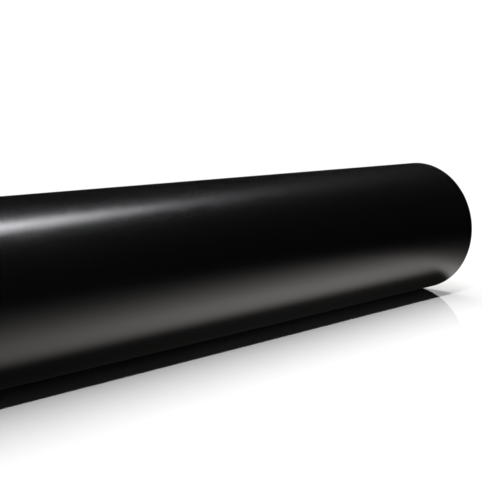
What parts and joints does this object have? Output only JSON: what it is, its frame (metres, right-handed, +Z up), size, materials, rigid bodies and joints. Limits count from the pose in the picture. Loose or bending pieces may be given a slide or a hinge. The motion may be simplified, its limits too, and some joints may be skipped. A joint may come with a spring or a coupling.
{
  "type": "roll of sign vinyl",
  "caption": "Roll of matt black self-adhesive sign vinyl on a paperboard core, lying on its side, with a taped tail that lifts and film that peels off its liner.",
  "frame": {"origin": "on the surface that the roll lies on, below the middle of the roll's axis", "axes": "+X along the roll's axis, +Y to the back of the roll where the tail of the web lies, +Z up"},
  "size_m": [0.613, 0.124, 0.1241],
  "materials": {
    "core_kraft": "matte",
    "core_board": "matte",
    "start_tape": "matte",
    "wound_web": "matte",
    "vinyl_film": "matte",
    "adhesive": "satin",
    "liner": "satin",
    "closing_tape": "matte"
  },
  "bodies": {
    "roll": {"core_inner_ply": "core_kraft", "core_body_ply_1": "core_board", "core_body_ply_2": "core_board", "core_body_ply_3": "core_board", "core_body_ply_4": "core_board", "core_body_ply_5": "core_board", "core_body_ply_6": "core_board", "core_outer_ply": "core_kraft", "start_tape_left": "start_tape", "start_tape_centre": "start_tape", "start_tape_right": "start_tape", "wound_turns": "wound_web", "outer_turn_liner": "liner", "outer_turn_adhesive": "adhesive", "outer_turn_film": "vinyl_film"},
    "tail": {"tail_liner": "liner", "tail_adhesive": "adhesive", "tail_film": "vinyl_film"},
    "flap": {"flap_adhesive": "adhesive", "flap_film": "vinyl_film", "closing_tape_left": "closing_tape", "closing_tape_centre": "closing_tape", "closing_tape_right": "closing_tape"}
  },
  "joints": [
    {"name": "tail_lift", "type": "hinge", "parent": "roll", "child": "tail", "pos_m": [0, 0.01941, 0.12109], "axis": [1, 0, 0], "range_deg": [0, 60]},
    {"name": "film_peel", "type": "hinge", "parent": "tail", "child": "flap", "pos_m": [0, 0.04037, 0.10963], "axis": [1, 0, 0], "range_deg": [0, 100]}
  ]
}
